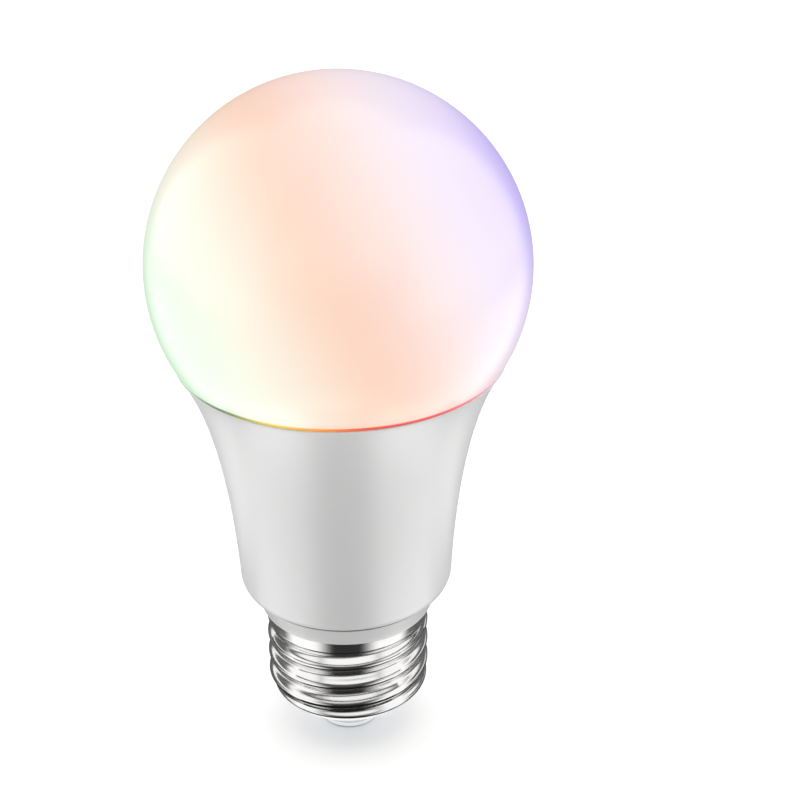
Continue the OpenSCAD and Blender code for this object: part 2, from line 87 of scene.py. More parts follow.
def linear(red: float, green: float, blue: float) -> tuple[float, float, float, float]:
    """Turns a display colour, 0 to 255, into the linear colour that a socket holds.

    Args:
        red: The red value.
        green: The green value.
        blue: The blue value.

    Returns:
        The linear colour with an alpha of one.
    """

    def one(value: float) -> float:
        """Turns one channel into its linear value."""
        share = value / 255.0
        return share / 12.92 if share <= 0.04045 else ((share + 0.055) / 1.055) ** 2.4

    return one(red), one(green), one(blue), 1.0


# ---------------------------------------------------------------- node groups


class GroupMaker:
    """Builds one shader node group with named sockets."""

    def __init__(self, name: str, inputs: dict[str, object], outputs: dict[str, str]) -> None:
        """Makes the group's tree and its sockets.

        Args:
            name: The group's name.
            inputs: Each input's name and default, a number or a colour.
            outputs: Each output's name and its socket type, Float or Color.
        """
        self.tree = bpy.data.node_groups.new(name, "ShaderNodeTree")
        for label, default in inputs.items():
            kind = "NodeSocketFloat" if isinstance(default, (int, float)) else "NodeSocketColor"
            socket = self.tree.interface.new_socket(label, in_out="INPUT", socket_type=kind)
            socket.default_value = default
        for label, kind in outputs.items():
            self.tree.interface.new_socket(label, in_out="OUTPUT", socket_type="NodeSocket" + kind)
        self.source = self.tree.nodes.new("NodeGroupInput")
        self.sink = self.tree.nodes.new("NodeGroupOutput")

    def node(self, kind: str, **settings: object) -> bpy.types.Node:
        """Adds a node and sets its properties."""
        made = self.tree.nodes.new(kind)
        for name, value in settings.items():
            setattr(made, name, value)
        return made

    def link(self, start: bpy.types.NodeSocket, end: bpy.types.NodeSocket) -> None:
        """Joins two sockets."""
        self.tree.links.new(start, end)

    def maths(self, operation: str, first: object, second: object = None,
              third: object = None) -> bpy.types.NodeSocket:
        """Adds a Math node over sockets or numbers.

        Args:
            operation: The node's operation.
            first: A socket or a number.
            second: A socket, a number or nothing.
            third: A socket, a number or nothing.

        Returns:
            The node's result socket.
        """
        made = self.node("ShaderNodeMath", operation=operation)
        for socket, value in zip(made.inputs, (first, second, third)):
            if isinstance(value, bpy.types.NodeSocket):
                self.link(value, socket)
            elif value is not None:
                socket.default_value = value
        return made.outputs[0]

    def noise(self, scale: object, detail: float, vector: bpy.types.NodeSocket) -> bpy.types.NodeSocket:
        """Adds a Noise texture and returns its factor socket."""
        made = self.node("ShaderNodeTexNoise")
        made.inputs["Detail"].default_value = detail
        if isinstance(scale, bpy.types.NodeSocket):
            self.link(scale, made.inputs["Scale"])
        else:
            made.inputs["Scale"].default_value = scale
        self.link(vector, made.inputs["Vector"])
        return made.outputs["Fac"]

    def smoothstep(self, value: bpy.types.NodeSocket, start: float, end: float) -> bpy.types.NodeSocket:
        """Rises smoothly from none at the start value to all at the end value."""
        made = self.node("ShaderNodeMapRange", interpolation_type="SMOOTHSTEP")
        low, high, first, last = (start, end, 0.0, 1.0) if start < end else (end, start, 1.0, 0.0)
        made.inputs["From Min"].default_value, made.inputs["From Max"].default_value = low, high
        made.inputs["To Min"].default_value, made.inputs["To Max"].default_value = first, last
        self.link(value, made.inputs["Value"])
        return made.outputs[0]

    def ramp(self, factor: bpy.types.NodeSocket,
             stops: tuple[tuple[float, Colour], ...]) -> bpy.types.NodeSocket:
        """Adds a smooth colour ramp over stops from -1 to 1.

        Args:
            factor: The socket that picks the colour, 0 to 1.
            stops: Each stop's place, -1 to 1, and display colour.

        Returns:
            The colour socket.
        """
        made = self.node("ShaderNodeValToRGB")
        made.color_ramp.interpolation = "B_SPLINE"
        elements = made.color_ramp.elements
        while len(elements) > 1:
            elements.remove(elements[-1])
        for index, (where, colour) in enumerate(stops):
            stop = elements[0] if index == 0 else elements.new(0.5 + 0.5 * where)
            stop.position = 0.5 + 0.5 * where
            stop.color = linear(*colour)
        self.link(factor, made.inputs["Fac"])
        return made.outputs["Color"]

    def blend(self, factor: object, start: object, end: object) -> bpy.types.NodeSocket:
        """Adds a colour Mix node.

        Args:
            factor: A socket or a number.
            start: A socket or a colour.
            end: A socket or a colour.

        Returns:
            The mixed colour's socket.
        """
        made = self.node("ShaderNodeMix", data_type="RGBA", blend_type="MIX")
        for socket, value in ((made.inputs[0], factor), (made.inputs[6], start), (made.inputs[7], end)):
            if isinstance(value, bpy.types.NodeSocket):
                self.link(value, socket)
            else:
                socket.default_value = value
        return made.outputs[2]


class Effects:
    """The shader node groups that the materials share, each built once."""

    def __init__(self) -> None:
        """Builds every group."""
        self.grain = self._grain()
        self.brush = self._brush()
        self.dust = self._dust()
        self.glow = self._glow()
        # The painted shade line's group.
        self.shade_line = self._shade_line()

    @staticmethod
    def _grain() -> bpy.types.ShaderNodeTree:
        """Moulded plastic: fine grain, soft mottle and the slight flow lines of a moulding."""
        g = GroupMaker(
            "moulded_grain",
            {"Colour": (0.8, 0.8, 0.8, 1.0), "Second Colour": (0.7, 0.7, 0.7, 1.0), "Grain Scale": 1500.0,
             "Mottle Scale": 60.0, "Roughness": 0.4, "Spread": 0.08},
            {"Colour": "Color", "Roughness": "Float", "Height": "Float"},
        )
        place = g.node("ShaderNodeTexCoord").outputs["Object"]
        fine = g.noise(g.source.outputs["Grain Scale"], 2.0, place)
        broad = g.noise(g.source.outputs["Mottle Scale"], 3.0, place)
        stretched = g.node("ShaderNodeMapping")
        stretched.inputs["Scale"].default_value = (1.0, 1.0, 0.12)
        g.link(place, stretched.inputs["Vector"])
        flow = g.noise(90.0, 2.0, stretched.outputs["Vector"])
        mottle = g.maths("MULTIPLY_ADD", flow, 0.4, g.maths("MULTIPLY", broad, 0.6))
        colour = g.blend(mottle, g.source.outputs["Colour"], g.source.outputs["Second Colour"])
        mixed = g.maths("MULTIPLY_ADD", fine, 0.5, g.maths("MULTIPLY", broad, 0.5))
        centred = g.maths("SUBTRACT", mixed, 0.5)
        rough = g.maths("MULTIPLY_ADD", centred, g.source.outputs["Spread"], g.source.outputs["Roughness"])
        g.link(colour, g.sink.inputs["Colour"])
        g.link(rough, g.sink.inputs["Roughness"])
        g.link(fine, g.sink.inputs["Height"])
        return g.tree

    @staticmethod
    def _brush() -> bpy.types.ShaderNodeTree:
        """Drawn or rolled metal: fine lines around the bulb's axis, with a soft change of tone."""
        g = GroupMaker(
            "rolled_metal",
            {"Colour": (0.7, 0.7, 0.7, 1.0), "Second Colour": (0.6, 0.6, 0.6, 1.0), "Line Scale": 1800.0,
             "Roughness": 0.12, "Spread": 0.08},
            {"Colour": "Color", "Roughness": "Float", "Height": "Float"},
        )
        place = g.node("ShaderNodeTexCoord").outputs["Object"]
        lines = g.node("ShaderNodeMapping")
        lines.inputs["Scale"].default_value = (0.03, 0.03, 1.0)
        g.link(place, lines.inputs["Vector"])
        fine = g.noise(g.source.outputs["Line Scale"], 2.0, lines.outputs["Vector"])
        cloud = g.noise(140.0, 3.0, place)
        colour = g.blend(cloud, g.source.outputs["Colour"], g.source.outputs["Second Colour"])
        mixed = g.maths("MULTIPLY_ADD", fine, 0.6, g.maths("MULTIPLY", cloud, 0.4))
        centred = g.maths("SUBTRACT", mixed, 0.5)
        rough = g.maths("MULTIPLY_ADD", centred, g.source.outputs["Spread"], g.source.outputs["Roughness"])
        g.link(colour, g.sink.inputs["Colour"])
        g.link(rough, g.sink.inputs["Roughness"])
        g.link(fine, g.sink.inputs["Height"])
        return g.tree

    @staticmethod
    def _dust() -> bpy.types.ShaderNodeTree:
        """Handling marks: faint smudges and sparse specks that dull a surface a little."""
        g = GroupMaker(
            "handling_marks",
            {"Colour": (0.8, 0.8, 0.8, 1.0), "Roughness": 0.3, "Amount": 0.3},
            {"Colour": "Color", "Roughness": "Float"},
        )
        place = g.node("ShaderNodeTexCoord").outputs["Object"]
        smudge_start, speck_start = 0.55, 0.79
        patches = g.maths("MAXIMUM", g.maths("SUBTRACT", g.noise(75.0, 4.0, place), smudge_start), 0.0)
        smudge = g.maths("SMOOTH_MIN", patches, 0.3, 0.1)
        specks = g.maths("GREATER_THAN", g.noise(2600.0, 1.0, place), speck_start)
        mask = g.maths("MULTIPLY", g.maths("ADD", smudge, g.maths("MULTIPLY", specks, 0.25)),
                       g.source.outputs["Amount"])
        dust_grey = (0.62, 0.6, 0.57, 1.0)
        colour = g.blend(mask, g.source.outputs["Colour"], dust_grey)
        rough = g.maths("ADD", g.source.outputs["Roughness"], g.maths("MULTIPLY", mask, 0.6))
        g.link(colour, g.sink.inputs["Colour"])
        g.link(rough, g.sink.inputs["Roughness"])
        return g.tree

    @staticmethod
    def _shade_line() -> bpy.types.ShaderNodeTree:
        """Painted shade: a near-black line at one height, standing in for the shade in the gap where two
        pieces meet or where a piece stands on the floor.
        """
        g = GroupMaker("painted_shade_line", {"Colour": (0.8, 0.8, 0.8, 1.0), "Height": 0.0275, "Width": 0.0002},
                       {"Colour": "Color"})
        place = g.node("ShaderNodeTexCoord").outputs["Object"]
        parts = g.node("ShaderNodeSeparateXYZ")
        g.link(place, parts.inputs[0])
        apart = g.maths("ABSOLUTE", g.maths("SUBTRACT", parts.outputs["Z"], g.source.outputs["Height"]))
        share = g.maths("DIVIDE", apart, g.source.outputs["Width"])
        wander = g.maths("MULTIPLY_ADD", g.noise(300.0, 2.0, place), 0.4, 0.8)
        mask = g.smoothstep(g.maths("MULTIPLY", share, wander), 1.2, 0.4)
        # Colour of the painted shade.
        shadow = (0.03, 0.03, 0.032, 1.0)
        g.link(g.blend(g.maths("MULTIPLY", mask, 0.85), g.source.outputs["Colour"], shadow),
               g.sink.inputs["Colour"])
        return g.tree

    @staticmethod
    def _glow() -> bpy.types.ShaderNodeTree:
        """Light from the colour emitters as it comes through the opal wall: bands across the globe."""
        g = GroupMaker(
            "emitter_bands",
            {"Centre Height": 0.08, "Seam Height": 0.0677},
            {"Colour": "Color"},
        )
        place = g.node("ShaderNodeTexCoord").outputs["Object"]
        lift = g.node("ShaderNodeCombineXYZ")
        g.link(g.source.outputs["Centre Height"], lift.inputs["Z"])
        apart = g.node("ShaderNodeVectorMath", operation="SUBTRACT")
        g.link(place, apart.inputs[0])
        g.link(lift.outputs[0], apart.inputs[1])
        unit = g.node("ShaderNodeVectorMath", operation="NORMALIZE")
        g.link(apart.outputs[0], unit.inputs[0])
        along = g.node("ShaderNodeVectorMath", operation="DOT_PRODUCT")
        g.link(unit.outputs[0], along.inputs[0])
        along.inputs[1].default_value = GlowBands.ACROSS.normalized()
        across = g.maths("MULTIPLY_ADD", along.outputs["Value"], 0.5, 0.5)
        bands = g.ramp(across, GlowBands.STOPS)
        height = g.node("ShaderNodeSeparateXYZ")
        g.link(place, height.inputs[0])
        above = g.maths("SUBTRACT", height.outputs["Z"], g.source.outputs["Seam Height"])
        side = g.maths("MULTIPLY_ADD", height.outputs["X"], 0.5 / GlowBands.SEAM_REACH, 0.5)
        seam = g.ramp(side, GlowBands.SEAM_STOPS)
        haze = g.smoothstep(above, GlowBands.HAZE_TOP, GlowBands.HAZE_FULL)
        line = g.smoothstep(above, GlowBands.LINE_TOP, GlowBands.LINE_FULL)
        share = g.maths("MULTIPLY", g.maths("POWER", haze, GlowBands.HAZE_FALL), GlowBands.HAZE_SHARE)
        hazed = g.blend(share, bands, seam)
        g.link(g.blend(line, hazed, seam), g.sink.inputs["Colour"])
        return g.tree


class GlowBands:
    """The colours that the emitters throw across the globe, from one side to the other."""

    ACROSS = Vector((0.90, 0.203, 0.380))
    SEAM_REACH = 25.2 * MM
    HAZE_TOP = 3.2 * MM
    HAZE_FULL = 0.1 * MM
    HAZE_FALL = 2.5
    HAZE_SHARE = 0.16
    LINE_TOP = 0.74 * MM
    LINE_FULL = 0.44 * MM
    STOPS: tuple[tuple[float, Colour], ...] = (
        (-1.0, (218.0, 251.0, 218.0)),
        (-0.85, (231.0, 253.0, 229.0)),
        (-0.7, (245.0, 253.0, 234.0)),
        (-0.55, (255.0, 249.0, 232.0)),
        (-0.4, (255.0, 238.0, 219.0)),
        (-0.25, (255.0, 226.0, 204.0)),
        (-0.1, (255.0, 215.0, 193.0)),
        (0.04, (255.0, 216.0, 199.0)),
        (0.2, (255.0, 224.0, 214.0)),
        (0.35, (253.0, 231.0, 230.0)),
        (0.5, (248.0, 233.0, 242.0)),
        (0.65, (242.0, 230.0, 250.0)),
        (0.8, (232.0, 219.0, 254.0)),
        (0.9, (213.0, 199.0, 254.0)),
        (1.0, (194.0, 180.0, 254.0)),
    )
    SEAM_STOPS: tuple[tuple[float, Colour], ...] = (
        (-1.0, (200.0, 244.0, 198.0)),
        (-0.88, (170.0, 224.0, 160.0)),
        (-0.76, (74.0, 112.0, 60.0)),
        (-0.6, (84.0, 110.0, 40.0)),
        (-0.45, (214.0, 202.0, 20.0)),
        (-0.28, (252.0, 196.0, 4.0)),
        (-0.05, (255.0, 138.0, 0.0)),
        (0.15, (240.0, 50.0, 4.0)),
        (0.5, (232.0, 40.0, 20.0)),
        (0.72, (246.0, 92.0, 90.0)),
        (0.9, (240.0, 160.0, 200.0)),
    )


# ---------------------------------------------------------------- finishes


class Bench:
    """A new material with its Principled shader and helpers to wire groups into it."""

    def __init__(self, name: str) -> None:
        """Makes the material.

        Args:
            name: The material's name.
        """
        self.material = bpy.data.materials.new(name)
        self.material.use_nodes = True
        self.tree = self.material.node_tree
        self.shader = self.tree.nodes["Principled BSDF"]

    def group(self, tree: bpy.types.ShaderNodeTree, **values: object) -> bpy.types.Node:
        """Places a node group with its own values.

        Args:
            tree: The shared group.
            values: Each input's value, or the socket that feeds it, with _ for a space.

        Returns:
            The group node.
        """
        made = self.tree.nodes.new("ShaderNodeGroup")
        made.node_tree = tree
        for name, value in values.items():
            socket = made.inputs[name.replace("_", " ")]
            if isinstance(value, bpy.types.NodeSocket):
                self.tree.links.new(value, socket)
            else:
                socket.default_value = value
        return made

    def feed(self, socket: str, source: bpy.types.NodeSocket) -> None:
        """Links a socket into the Principled shader."""
        self.tree.links.new(source, self.shader.inputs[socket])

    def bump(self, height: bpy.types.NodeSocket, strength: float, distance: float) -> None:
        """Adds a Bump node into the shader's Normal.

        Args:
            height: The height socket.
            strength: The bump's strength.
            distance: The bump's depth in metres.
        """
        made = self.tree.nodes.new("ShaderNodeBump")
        made.inputs["Strength"].default_value = strength
        made.inputs["Distance"].default_value = distance
        self.tree.links.new(height, made.inputs["Height"])
        self.feed("Normal", made.outputs["Normal"])

    def fix(self, **values: object) -> None:
        """Sets values that are the same all over on the shader's own sockets."""
        for name, value in values.items():
            self.shader.inputs[name.replace("_", " ")].default_value = value


@dataclass(frozen=True)
class MouldedPlastic:
    """A moulded plastic skin."""

    name: str
    colour: Colour
    second: Colour
    roughness: float = 0.38
    spread: float = 0.1
    grain_scale: float = 1500.0
    mottle_scale: float = 60.0
    bump: float = 0.08
    marks: float = 0.25
    coat: float = 0.0
    pearl: float = 0.0
    # Height and width of a painted shade line, standing in for the shade in a gap; none when the height is
    # zero.
    shade_line: float = 0.0
    shade_line_width: float = 0.14 * MM

    def material(self, effects: Effects) -> bpy.types.Material:
        """Builds the material from the shared groups."""
        bench = Bench(self.name)
        grain = bench.group(effects.grain, Colour=linear(*self.colour), Second_Colour=linear(*self.second),
                            Grain_Scale=self.grain_scale, Mottle_Scale=self.mottle_scale,
                            Roughness=self.roughness, Spread=self.spread)
        dust = bench.group(effects.dust, Colour=grain.outputs["Colour"],
                           Roughness=grain.outputs["Roughness"], Amount=self.marks)
        skin = dust.outputs["Colour"]
        # Painted shade: darkens a thin band at one height for the shade in the gap between pieces.
        if self.shade_line:
            skin = bench.group(effects.shade_line, Colour=skin, Height=self.shade_line,
                               Width=self.shade_line_width).outputs["Colour"]
        bench.feed("Base Color", skin)
        bench.feed("Roughness", dust.outputs["Roughness"])
        bench.bump(grain.outputs["Height"], self.bump, 0.02 * MM)
        bench.fix(Coat_Weight=self.coat, Coat_Roughness=0.2, Metallic=self.pearl)
        return bench.material


@dataclass(frozen=True)
class RolledMetal:
    """A drawn, rolled or plated metal skin."""

    name: str
    colour: Colour
    second: Colour
    roughness: float = 0.12
    spread: float = 0.08
    line_scale: float = 1800.0
    bump: float = 0.05
    marks: float = 0.15
    # Height and width of a painted shade line; none when the width is zero.
    shade_line: float = 0.0
    shade_line_width: float = 0.0

    def material(self, effects: Effects) -> bpy.types.Material:
        """Builds the material from the shared groups."""
        bench = Bench(self.name)
        brush = bench.group(effects.brush, Colour=linear(*self.colour), Second_Colour=linear(*self.second),
                            Line_Scale=self.line_scale, Roughness=self.roughness, Spread=self.spread)
        dust = bench.group(effects.dust, Colour=brush.outputs["Colour"],
                           Roughness=brush.outputs["Roughness"], Amount=self.marks)
        skin = dust.outputs["Colour"]
        # Painted shade: darkens a thin band at one height, standing in for a shadow.
        if self.shade_line_width:
            skin = bench.group(effects.shade_line, Colour=skin, Height=self.shade_line,
                               Width=self.shade_line_width).outputs["Colour"]
        bench.feed("Base Color", skin)
        bench.feed("Roughness", dust.outputs["Roughness"])
        bench.bump(brush.outputs["Height"], self.bump, 0.01 * MM)
        bench.fix(Metallic=1.0)
        return bench.material


@dataclass(frozen=True)
class LitOpal:
    """Opal plastic with the emitters' light coming through it."""

    name: str
    base: Colour = (58.0, 58.0, 58.0)
    strength: float = 0.96
    roughness: float = 0.24
    gloss: float = 0.45
    coat: float = 0.38
    coat_roughness: float = 0.16

    def material(self, effects: Effects, centre_height: float, seam_height: float) -> bpy.types.Material:
        """Builds the material.

        Args:
            effects: The shared groups.
            centre_height: The globe's centre above the origin.
            seam_height: The height of the globe's lower edge.

        Returns:
            The material.
        """
        bench = Bench(self.name)
        glow = bench.group(effects.glow, Centre_Height=centre_height, Seam_Height=seam_height)
        grain = bench.group(effects.grain, Colour=linear(*self.base), Second_Colour=linear(*self.base),
                            Grain_Scale=2200.0, Mottle_Scale=50.0, Roughness=self.roughness, Spread=0.06)
        bench.feed("Base Color", grain.outputs["Colour"])
        bench.feed("Roughness", grain.outputs["Roughness"])
        bench.feed("Emission Color", glow.outputs["Colour"])
        bench.bump(grain.outputs["Height"], 0.04, 0.01 * MM)
        bench.fix(Emission_Strength=self.strength, Specular_IOR_Level=self.gloss,
                  Coat_Weight=self.coat, Coat_Roughness=self.coat_roughness)
        return bench.material


# ---------------------------------------------------------------- mesh helpers


class Lathe:
    """A profile in the XZ half plane that is turned about the bulb's axis."""

    def __init__(self) -> None:
        """Starts with an empty mesh."""
        self.mesh = bmesh.new()
        self.first: bmesh.types.BMVert | None = None
        self.last: bmesh.types.BMVert | None = None

    def to(self, radius: float, height: float) -> "Lathe":
        """Draws the profile on to a point, or starts it there."""
        point = self.mesh.verts.new((max(radius, 0.0), 0.0, height))
        if self.last is not None:
            self.mesh.edges.new((self.last, point))
        else:
            self.first = point
        self.last = point
        return self

    def through(self, points: list[tuple[float, float]]) -> "Lathe":
        """Draws the profile on through several points."""
        for radius, height in points:
            self.to(radius, height)
        return self

    def arc(self, radius: float, height: float, angle: float, steps: int) -> "Lathe":
        """Sweeps the profile's end about a centre with the spin operator.

        Args:
            radius: The centre's distance from the axis.
            height: The centre's height.
            angle: The angle of the sweep in degrees, up and inwards when positive.
            steps: How many edges the arc has.

        Returns:
            The lathe itself.
        """
        made = bmesh.ops.spin(self.mesh, geom=[self.last], cent=(radius, 0.0, height),
                              axis=(0.0, -1.0, 0.0), angle=math.radians(angle), steps=steps,
                              use_merge=False, use_duplicate=False)
        self.last = next(item for item in made["geom_last"] if isinstance(item, bmesh.types.BMVert))
        return self

    def close(self) -> "Lathe":
        """Joins the profile's end to its start."""
        self.mesh.edges.new((self.last, self.first))
        return self

    def turn(self, steps: int) -> bmesh.types.BMesh:
        """Turns the profile through a full circle.

        Args:
            steps: How many faces go around.

        Returns:
            The closed mesh, its normals outwards.
        """
        bmesh.ops.spin(self.mesh, geom=self.mesh.verts[:] + self.mesh.edges[:], cent=(0.0, 0.0, 0.0),
                       axis=Z_AXIS, angle=FULL_TURN, steps=steps, use_merge=True, use_duplicate=False)
        bmesh.ops.remove_doubles(self.mesh, verts=self.mesh.verts[:], dist=1e-7)
        bmesh.ops.dissolve_degenerate(self.mesh, edges=self.mesh.edges[:], dist=1e-8)
        bmesh.ops.recalc_face_normals(self.mesh, faces=self.mesh.faces[:])
        return self.mesh


def as_piece(name: str, mesh: bmesh.types.BMesh, material: bpy.types.Material,
             nodes: tuple[str, ...], shade: Shade = Shade.CREASED) -> bpy.types.Object:
    """Makes a finished piece that rides on the bulb's one body.

    Args:
        name: The piece's name.
        mesh: Its mesh, which is freed.
        material: Its finish.
        nodes: The CAD nodes that it stands for.
        shade: Smooth all over, or with creases at sharp edges.

    Returns:
        The object.
    """
    data = bpy.data.meshes.new(name)
    mesh.to_mesh(data)
    mesh.free()
    data.materials.append(material)
    data.shade_smooth()
    if shade is Shade.CREASED:
        data.set_sharp_from_angle(angle=SHARP_EDGE)
    piece = bpy.data.objects.new(name, data)
    bpy.context.scene.collection.objects.link(piece)
    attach(piece, "root")
    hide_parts(*nodes)
    LOG.info("%s: %d faces", name, len(data.polygons))
    return piece


# ---------------------------------------------------------------- sub-assemblies


@dataclass
class Flare:
    """The housing's flare, a smooth curve from its rim to its foot."""

    rim_r: float
    rim_z: float
    foot_r: float
    foot_z: float
    waist_r: float = 18.45 * MM
    waist_z: float = 56.8 * MM

    def points(self, inset: float, start: float, end: float, count: int) -> list[tuple[float, float]]:
        """Points down the flare.

        Args:
            inset: How far inside the flare they lie.
            start: The first point's place, 0 at the rim.
            end: The last point's place, 1 at the foot.
            count: How many steps.

        Returns:
            Pairs of radius and height.
        """
        found = []
        for index in range(count + 1):
            t = start + (end - start) * index / count
            a, b, c = (1 - t) ** 2, 2 * t * (1 - t), t * t
            found.append((a * self.rim_r + b * self.waist_r + c * self.foot_r - inset,
                          a * self.rim_z + b * self.waist_z + c * self.foot_z))
        return found


@dataclass
class Globe:
    """The opal diffuser with the skirt that snaps into the housing."""

    effects: Effects
    wall: float = 1.2 * MM
    skirt_inset: float = 1.75 * MM
    lip_in: float = 0.3 * MM
    lip_edge: float = 0.1 * MM
    lip_angle: float = 0.5
    skirt_wall: float = 1.3 * MM
    skirt_lean: float = 1.5 * MM
    outer_steps: int = 110
    inner_steps: int = 90
    steps: int = 192

    def __post_init__(self) -> None:
        """Takes the globe's place from the frame."""
        low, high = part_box("diffuser_globe")
        self.radius = (high.x - low.x) / 2
        self.centre = high.z - self.radius
        self.skirt_z = low.z
        self.rim_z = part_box("housing")[1].z

    def build(self) -> list[bpy.types.Object]:
        """Builds the diffuser, open at its skirt."""
        finish = LitOpal("opal_lit").material(self.effects, self.centre, self.rim_z)
        drop = self.centre - self.rim_z
        rim_r = math.sqrt(self.radius ** 2 - drop ** 2)
        start = math.degrees(math.asin(drop / self.radius))
        inner = self.radius - self.wall
        shoulder_r = rim_r - self.skirt_inset
        lathe = Lathe()
        first = math.radians(start - self.lip_angle)
        lathe.to(rim_r - self.lip_in, self.rim_z - self.lip_in).to(rim_r - self.lip_edge, self.rim_z)
        lathe.to(self.radius * math.cos(first), self.centre - self.radius * math.sin(first))
        lathe.arc(0.0, self.centre, 90.0 + start - self.lip_angle, self.outer_steps)
        lathe.to(0.0, self.centre + inner)
        inner_start = math.degrees(math.asin((drop - self.wall) / inner))
        lathe.arc(0.0, self.centre, -(90.0 + inner_start), self.inner_steps)
        lathe.to(shoulder_r - self.wall, self.rim_z + self.wall)
        lathe.to(shoulder_r - self.wall - self.skirt_wall, self.skirt_z)
        lathe.to(shoulder_r - self.skirt_lean, self.skirt_z)
        lathe.to(shoulder_r, self.rim_z - self.lip_in)
        lathe.close()
        globe = as_piece("diffuser_globe_opal", lathe.turn(self.steps), finish,
                         ("diffuser_globe",))
        return [globe]


@dataclass
class Housing:
    """The white flared housing, its rounded foot and the floor that the collar hangs from."""

    effects: Effects
    wall: float = 1.6 * MM
    rim_round: float = 0.16 * MM
    rim_recess: float = 0.35 * MM
    foot_inner_r: float = 15.7 * MM
    foot_r: float = 16.95 * MM
    foot_round_h: float = 2.15 * MM
    foot_round_steps: int = 12
    bore_r: float = 12.65 * MM
    inner_step: float = 0.8 * MM
    steps: int = 192

    def __post_init__(self) -> None:
        """Takes the housing's place from the frame."""
        low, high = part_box("housing")
        self.rim_r, self.rim_z, self.foot_z = (high.x - low.x) / 2, high.z, low.z
        self.flare = Flare(self.rim_r, self.rim_z, self.foot_r, self.foot_z + self.foot_round_h)

    def build(self) -> list[bpy.types.Object]:
        """Builds the housing."""
        # The housing's skin carries a painted shade line at its foot, for the shade in the gap above the
        # collar.
        finish = MouldedPlastic("housing_white", (226.0, 226.0, 226.0), (221.0, 221.0, 221.0),
                                roughness=0.37, grain_scale=1700.0, bump=0.1, marks=0.2, pearl=0.28,
                                shade_line=self.foot_z).material(self.effects)
        lathe = Lathe()
        lathe.to(self.rim_r - self.wall, self.rim_z - self.rim_recess)
        lathe.to(self.rim_r - 1.6 * self.rim_round, self.rim_z - self.rim_recess)
        lathe.to(self.rim_r - self.rim_round, self.rim_z)
        lathe.arc(self.rim_r - self.rim_round, self.rim_z - self.rim_round, -90.0, 6)
        lathe.through(self.flare.points(0.0, 0.012, 1.0, 48))
        spread = self.flare.foot_r - self.foot_inner_r
        for index in range(1, self.foot_round_steps + 1):
            turn = math.radians(90.0 * index / self.foot_round_steps)
            lathe.to(self.foot_inner_r + spread * math.cos(turn),
                     self.flare.foot_z - self.foot_round_h * math.sin(turn))
        lathe.to(self.bore_r, self.foot_z)
        lathe.to(self.bore_r, self.foot_z + self.wall)
        lathe.to(self.foot_inner_r - self.wall, self.foot_z + self.wall)
        lathe.through(self.flare.points(self.wall + self.inner_step, 0.93, 0.3, 16))
        lathe.through(self.flare.points(self.wall, 0.26, 0.0, 8)[:-1])
        lathe.close()
        return [as_piece("housing_shell", lathe.turn(self.steps), finish, ("housing",))]


@dataclass
class Collar:
    """The white ring between the housing and the screw cap."""

    effects: Effects
    top_r: float = 15.4 * MM
    low_r: float = 13.85 * MM
    bore_r: float = 10.4 * MM
    spigot_r: float = 11.7 * MM
    upper_r: float = 12.5 * MM
    edge: float = 0.3 * MM
    skirt_lean: float = 0.12 * MM
    skirt_h: float = 1.0 * MM
    brow_in: float = 0.14 * MM
    brow_drop: float = 0.75 * MM
    lip: float = 0.06 * MM
    groove: float = 0.2 * MM
    groove_deep: float = 0.9 * MM
    # Where the painted shade line sits below the housing's foot and how wide it is; it stands for the shade
    # in the groove.
    line_drop: float = 0.36 * MM
    line_width: float = 0.42 * MM
    steps: int = 160

    def __post_init__(self) -> None:
        """Takes the collar's place from the frame."""
        low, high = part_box("collar")
        self.low_z, self.top_z = low.z, high.z
        self.flange_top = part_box("housing")[0].z
        self.flange_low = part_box("screw_shell")[1].z

    def build(self) -> list[bpy.types.Object]:
        """Builds the collar."""
        # The collar's skin carries the painted shade line in its groove under the housing's foot.
        finish = MouldedPlastic("collar_white", (218.0, 218.0, 218.0), (212.0, 212.0, 212.0),
                                roughness=0.33, grain_scale=1900.0, bump=0.08, marks=0.2, pearl=0.2,
                                shade_line=self.flange_top - self.line_drop,
                                shade_line_width=self.line_width).material(self.effects)
        lathe = Lathe()
        lathe.to(self.bore_r, self.low_z).to(self.spigot_r, self.low_z)
        lathe.to(self.spigot_r, self.flange_low).to(self.low_r - self.edge, self.flange_low)
        lathe.arc(self.low_r - self.edge, self.flange_low + self.edge, 90.0, 6)
        lathe.to(self.low_r + self.skirt_lean, self.flange_low + self.skirt_h)
        lathe.to(self.top_r - self.brow_in, self.flange_top - self.brow_drop)
        lathe.to(self.top_r, self.flange_top - self.groove - self.lip)
        lathe.to(self.top_r - self.lip, self.flange_top - self.groove)
        lathe.to(self.top_r - self.groove_deep, self.flange_top - self.groove)
        lathe.to(self.top_r - self.groove_deep, self.flange_top)
        lathe.to(self.upper_r, self.flange_top).to(self.upper_r, self.top_z).to(self.bore_r, self.top_z)
        lathe.close()
        return [as_piece("collar_ring", lathe.turn(self.steps), finish, ("collar",))]


